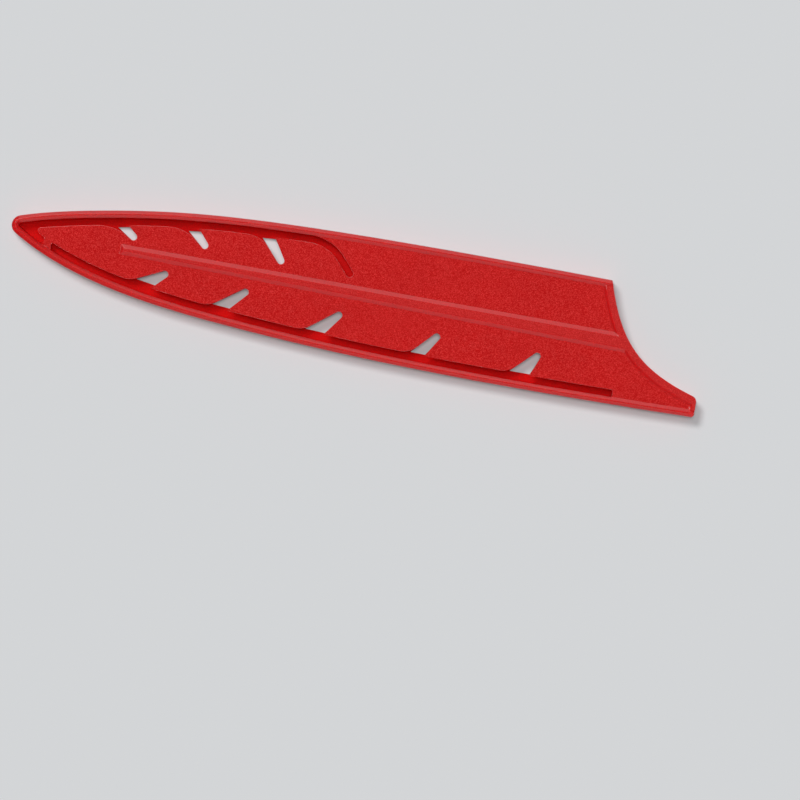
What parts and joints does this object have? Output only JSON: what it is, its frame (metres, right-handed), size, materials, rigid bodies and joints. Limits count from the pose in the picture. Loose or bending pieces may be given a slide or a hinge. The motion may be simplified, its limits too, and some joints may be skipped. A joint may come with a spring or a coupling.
{
  "type": "knife blade guard",
  "caption": "Slim two-shell blade guard for a slicing knife, with a springy slotted front panel, slanted see-through windows, a raised rim and an open sweeping mouth.",
  "frame": {"origin": "middle of the guard's outline, on the plane that the rear rims lie on", "axes": "+X from the closed nose to the open mouth, +Y from the cutting edge side to the spine side, +Z out of the front face"},
  "size_m": [0.2178, 0.0384, 0.0082],
  "materials": {
    "red_plastic": "fine spark-eroded texture, satin on rims and ribs"
  },
  "bodies": {
    "root": {"rear_shell": "red_plastic", "front_shell": "red_plastic"}
  },
  "joints": []
}
